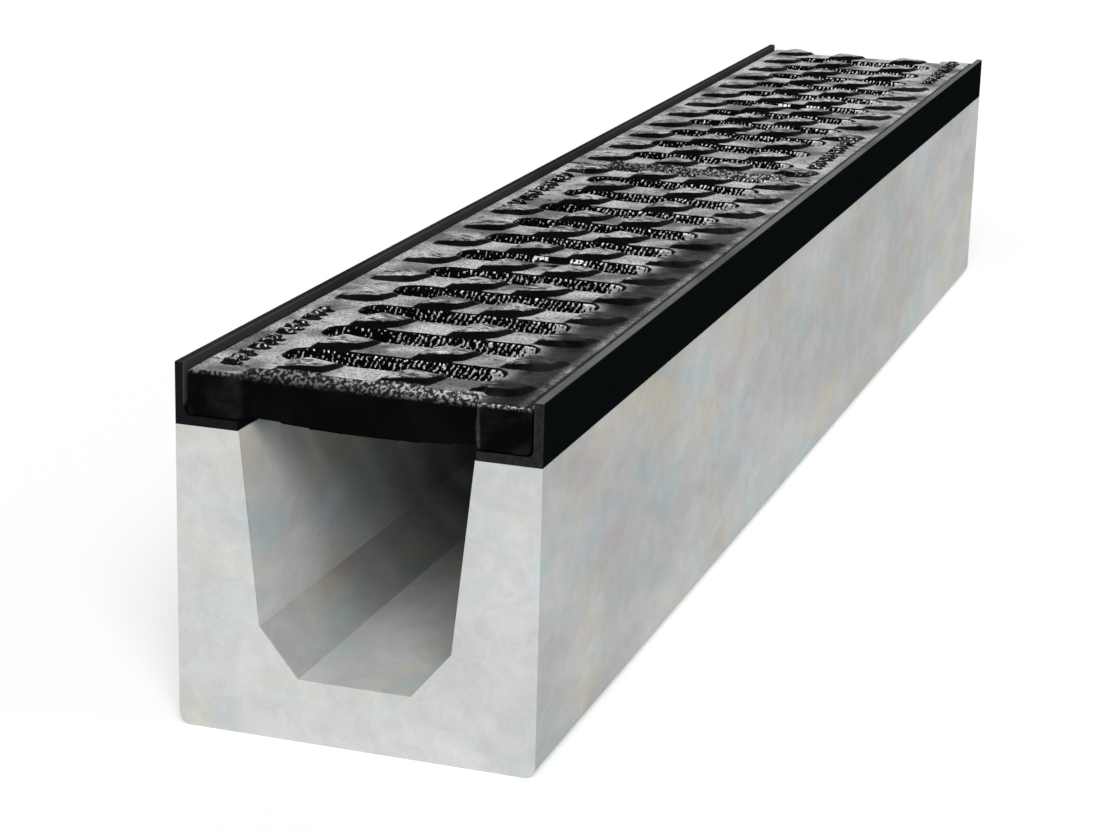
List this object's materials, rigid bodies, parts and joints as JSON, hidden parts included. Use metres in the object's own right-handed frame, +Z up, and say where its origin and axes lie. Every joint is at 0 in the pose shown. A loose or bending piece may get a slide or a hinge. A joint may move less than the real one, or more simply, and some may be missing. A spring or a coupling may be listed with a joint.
{
  "type": "drainage channel",
  "caption": "Concrete drainage channel with a bevelled trough, black steel edge rails and bolted cast iron slot gratings with raised anti-slip pads.",
  "frame": {"origin": "middle of the underside, on the surface that the channel stands on", "axes": "+Z up, +Y along the channel from the pictured end to the far end, +X to the right across it"},
  "size_m": [0.16, 1, 0.16],
  "materials": {
    "concrete": "pale grey cast concrete with soft cloudy mottling",
    "rail_paint": "black satin paint",
    "grating_iron": "black coated rough casting, satin on the flats",
    "lock_steel": "dull zinc plate",
    "bolt_steel": "blackened steel",
    "anchor_steel": "bare mill steel cast into the concrete"
  },
  "bodies": {
    "root": {"channel_body": "concrete", "edge_rail_left": "rail_paint", "edge_rail_right": "rail_paint", "rail_anchor_left_1": "anchor_steel", "rail_anchor_left_2": "anchor_steel", "rail_anchor_left_3": "anchor_steel", "rail_anchor_left_4": "anchor_steel", "rail_anchor_right_1": "anchor_steel", "rail_anchor_right_2": "anchor_steel", "rail_anchor_right_3": "anchor_steel", "rail_anchor_right_4": "anchor_steel", "grating_front": "grating_iron", "lock_bar_front": "lock_steel", "lock_bolt_front": "bolt_steel", "grating_rear": "grating_iron", "lock_bar_rear": "lock_steel", "lock_bolt_rear": "bolt_steel"}
  },
  "joints": []
}
